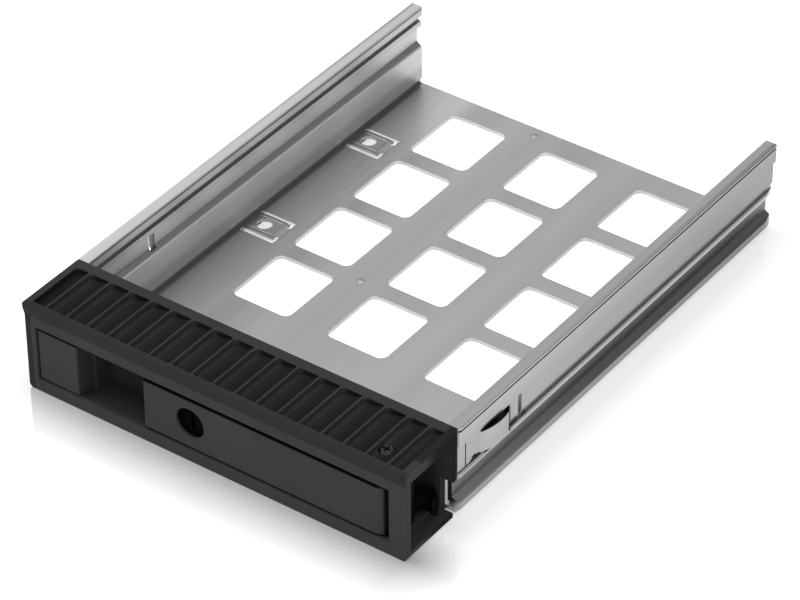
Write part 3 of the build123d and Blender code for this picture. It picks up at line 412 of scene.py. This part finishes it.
def brushed_metal(name, colour):
    """Metal drawn or rolled along Y: fine lines, slow clouds, painted shade and highlights, a soft
    sheen.
    """
    material, tree, shader = new_material(name)
    shader.inputs["Metallic"].default_value = 1.0
    axes = frame_axes(tree)
    lines = object_noise(tree, **BRUSH_LINES)
    tinted = swing(tree, lines, WIDE, [scaled(colour, tint) for tint in BRUSH_TINTS])
    clouds = swing(tree, object_noise(tree, **ROLLED_CLOUDS), USUAL, CLOUD_TINTS)
    bands = swing(tree, object_noise(tree, **ROLLED_BANDS), NARROW, BAND_TINTS)
    for layer in (clouds, bands):
        tinted = mix_colour(tree, 1.0, tinted, layer, "MULTIPLY")
    # The tray's painted shade and painted highlights, after its fine flange lines
    for tint, soft, spans in flange_lines() + pad_shades() + list(TRAY_SHADES.values()):
        place = region(tree, axes, soft, **spans)
        tinted = mix_colour(tree, place, tinted, scaled(WHITE, tint), "MULTIPLY")
    feed(tree, shader.inputs["Base Color"], tinted)
    # Painted shade behind the side springs: the reflection is dimmed there
    share, soft, spans = SPRING_RECESS_SHADE
    reflection_shade = mix_colour(tree, region(tree, axes, soft, **spans), WHITE, scaled(WHITE, share))
    feed(tree, shader.inputs["Specular Tint"], reflection_shade)
    rough = swing(tree, lines, WIDE, [METAL_ROUGHNESS + change for change in METAL_SWING])
    feed(tree, shader.inputs["Roughness"], rough)
    bump(tree, shader, lines, BRUSHED_DEPTH)
    return material


def scoop_painted_shade(tree, axes):
    """The scoops' painted light and shade: a ramp across each step from rib to rib."""
    from_first = calculate(tree, "SUBTRACT", axes["x"], FIRST_RIB)
    across = calculate(tree, "FRACT", multiply(tree, from_first, 1.0 / RIB_PITCH))
    return ramp(tree, across, [(place, scaled(SCOOP_SHADE, tint)) for place, tint in SCOOP_TINTS])


def moulded_plastic(name, colour, shades=None, roughness=MOULD_ROUGHNESS):
    """Moulded plastic with a fine grain, with painted shade where its table of shades says."""
    material, tree, shader = new_material(name)
    shader.inputs["Specular IOR Level"].default_value = MOULD_GLOSS
    axes = frame_axes(tree)
    base = colour
    # Painted shade from the table, and the scoops' painted light and shade
    for shade, soft, spans in (shades or {}).values():
        if shade is SCOOP_SHADE:
            shade = scoop_painted_shade(tree, axes)
        base = mix_colour(tree, region(tree, axes, soft, **spans), base, shade)
    clouds = swing(tree, object_noise(tree, **MOULD_CLOUDS), USUAL, MOULD_TINTS)
    tinted = mix_colour(tree, 1.0, base, clouds, "MULTIPLY")
    feed(tree, shader.inputs["Base Color"], tinted)
    grain = object_noise(tree, **MOULD_GRAIN)
    rough = swing(tree, grain, USUAL, [roughness + change for change in MOULD_SWING])
    feed(tree, shader.inputs["Roughness"], rough)
    bump(tree, shader, grain, MOULD_DEPTH)
    return material


def plated_metal(name, colour, roughness=PLATED_ROUGHNESS):
    """Plated or blackened steel with faint clouds."""
    material, tree, shader = new_material(name)
    shader.inputs["Metallic"].default_value = 1.0
    clouds = object_noise(tree, **PLATED_CLOUDS)
    tinted = swing(tree, clouds, USUAL, [scaled(colour, tint) for tint in PLATED_TINTS])
    feed(tree, shader.inputs["Base Color"], tinted)
    rough = swing(tree, clouds, USUAL, [roughness + change for change in PLATED_SWING])
    feed(tree, shader.inputs["Roughness"], rough)
    return material


def dress(names, material):
    """Gives CAD nodes a material."""
    for name in names:
        mesh = nodes[name].data
        mesh.materials.clear()
        mesh.materials.append(material)


def dress_nodes():
    """Every CAD node's material."""
    steel = plated_metal("screw_steel", STEEL)
    dress(["tray_channel"], brushed_metal("brushed_aluminium", ALUMINIUM))
    dress(["bezel_housing"], moulded_plastic("bezel_plastic", PLASTIC, BEZEL_SHADES))
    dress(["lever_handle"], moulded_plastic("lever_plastic", PLASTIC, LEVER_SHADES))
    dress(["release_button"], moulded_plastic("button_plastic", PLASTIC, BUTTON_SHADES))
    dress(["rear_cover"], moulded_plastic("cover_plastic", PLASTIC))
    dress(["latch_slider"], moulded_plastic("latch_plastic", LATCH))
    dress(["lock_barrel"], moulded_plastic("lock_metal", LOCK, roughness=LOCK_ROUGHNESS))
    dress(["pivot_screw"], plated_metal("black_oxide", BLACK_OXIDE, OXIDE_ROUGHNESS))
    screws = [n for n in nodes if n.startswith(("bezel_screw", "cover_screw"))]
    dress(screws + ["lock_screw", "lock_cam"], steel)
    dress(["lever_spring", "button_spring", "latch_spring"], steel)


def soften_edges(name, width):
    """Rounds a CAD node's sharp edges a little."""
    piece = nodes[name]
    weld = piece.modifiers.new("weld", "WELD")
    weld.merge_threshold = WELD_DISTANCE
    bevel = piece.modifiers.new("edges", "BEVEL")
    bevel.width = width
    bevel.segments = EDGE_SEGMENTS
    bevel.limit_method = "ANGLE"
    bevel.angle_limit = EDGE_ANGLE
    bevel.use_clamp_overlap = True
    bevel.harden_normals = True


def giving_spring(name, axis, fixed_low):
    """A copy of the rigid CAD coil, put in its place, with the CAD coil hidden."""
    low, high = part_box(name)
    fixed, moving = (low, high) if fixed_low else (high, low)
    middle = (Vector(low) + Vector(high)) / 2
    start, end = middle.copy(), middle.copy()
    start[axis], end[axis] = fixed[axis], moving[axis]
    piece = bpy.data.objects.new(name + "_coil", nodes[name].data.copy())
    bpy.context.scene.collection.objects.link(piece)
    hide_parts(name)
    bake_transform(piece)


def floor_glow(tree, under_tray):
    """The floor's pale glow, for the camera and for glossy surfaces only."""
    rays = add(tree, "ShaderNodeLightPath").outputs
    seen = slope(tree, under_tray, 0.0, 1.0, CAMERA_GLOW, UNDER_GLOW)
    camera_glow = multiply(tree, rays["Is Camera Ray"], seen)
    glossy_glow = multiply(tree, rays["Is Glossy Ray"], GLOSSY_GLOW)
    either = calculate(tree, "MAXIMUM", camera_glow, glossy_glow)
    return add(tree, "ShaderNodeEmission", Color=WHITE, Strength=either).outputs[0]


def floor_mirror_share(tree, axes, under_tray):
    """How much of the floor is a mirror: most in front of the caddy, none under the tray."""
    start, end = (FACE_Y + place * MM for place in MIRROR_FADE)
    front = slope(tree, axes["y"], start, end, low=SIDE_MIRROR)
    soft, spans = AROUND_CADDY
    near = multiply(tree, region(tree, axes, soft, **spans), front)
    outside = calculate(tree, "SUBTRACT", 1.0, under_tray)
    return multiply(tree, multiply(tree, near, outside), MIRROR)


def floor():
    """A plain white floor that keeps a soft shadow and a faint reflection."""
    bpy.ops.mesh.primitive_plane_add(size=FLOOR_SIZE, location=(0, 0, -FLOOR_BELOW))
    plane = bpy.context.object
    plane.name = "floor"
    material, tree, shader = new_material("floor_white")
    feed(tree, shader.inputs["Base Color"], FLOOR)
    shader.inputs["Roughness"].default_value = FLOOR_ROUGHNESS
    shader.inputs["Specular IOR Level"].default_value = FLOOR_GLOSS
    axes = frame_axes(tree)
    soft, spans = UNDER_TRAY
    under_tray = region(tree, axes, soft, **spans)
    lit = add(tree, "ShaderNodeAddShader")
    feed(tree, lit.inputs[0], shader.outputs[0])
    feed(tree, lit.inputs[1], floor_glow(tree, under_tray))
    mirror = add(tree, "ShaderNodeBsdfGlossy", Roughness=MIRROR_ROUGHNESS)
    blend = add(tree, "ShaderNodeMixShader", Fac=floor_mirror_share(tree, axes, under_tray))
    feed(tree, blend.inputs[1], lit.outputs[0])
    feed(tree, blend.inputs[2], mirror.outputs[0])
    feed(tree, tree.nodes["Material Output"].inputs["Surface"], blend.outputs[0])
    plane.data.materials.append(material)


def softbox(name, place, target, size, power):
    """A large area lamp that looks at a target."""
    lamp = bpy.data.lights.new(name, "AREA")
    lamp.shape = "RECTANGLE"
    lamp.size, lamp.size_y = size
    lamp.energy = power
    holder = bpy.data.objects.new(name, lamp)
    holder.location = place
    holder.rotation_mode = "QUATERNION"
    holder.rotation_quaternion = (Vector(target) - Vector(place)).to_track_quat("-Z", "Y")
    bpy.context.scene.collection.objects.link(holder)


def lights():
    """A surround that is dim at the horizon and bright overhead, and soft lamps."""
    world = bpy.data.worlds.new("studio")
    world.use_nodes = True
    tree = world.node_tree
    place = add(tree, "ShaderNodeTexCoord").outputs["Generated"]
    height = add(tree, "ShaderNodeSeparateXYZ", Vector=place).outputs["Z"]
    feed(tree, tree.nodes["Background"].inputs["Color"], ramp(tree, height, SKY))
    bpy.context.scene.world = world
    for name, lamp in LAMPS.items():
        softbox(name, **lamp)


def camera():
    """The camera at the photograph's place."""
    lens = bpy.data.cameras.new("camera")
    lens.lens = LENS
    lens.sensor_width = SENSOR
    lens.clip_start = NEAREST
    lens.clip_end = FARTHEST
    holder = bpy.data.objects.new("camera", lens)
    forward = Vector((
        -math.sin(CAMERA_AZIMUTH) * math.cos(CAMERA_ELEVATION),
        math.cos(CAMERA_AZIMUTH) * math.cos(CAMERA_ELEVATION),
        -math.sin(CAMERA_ELEVATION),
    ))
    holder.location = EYE
    holder.rotation_mode = "QUATERNION"
    roll = Quaternion((0, 0, 1), CAMERA_ROLL)
    holder.rotation_quaternion = forward.to_track_quat("-Z", "Y") @ roll
    bpy.context.scene.collection.objects.link(holder)
    bpy.context.scene.camera = holder


dress_nodes()
for name, width in EDGE_WIDTHS.items():
    soften_edges(name, width)
giving_spring("button_spring", Y, fixed_low=False)
giving_spring("latch_spring", X, fixed_low=True)
floor()
lights()
camera()
bpy.context.scene.view_settings.view_transform = "Standard"
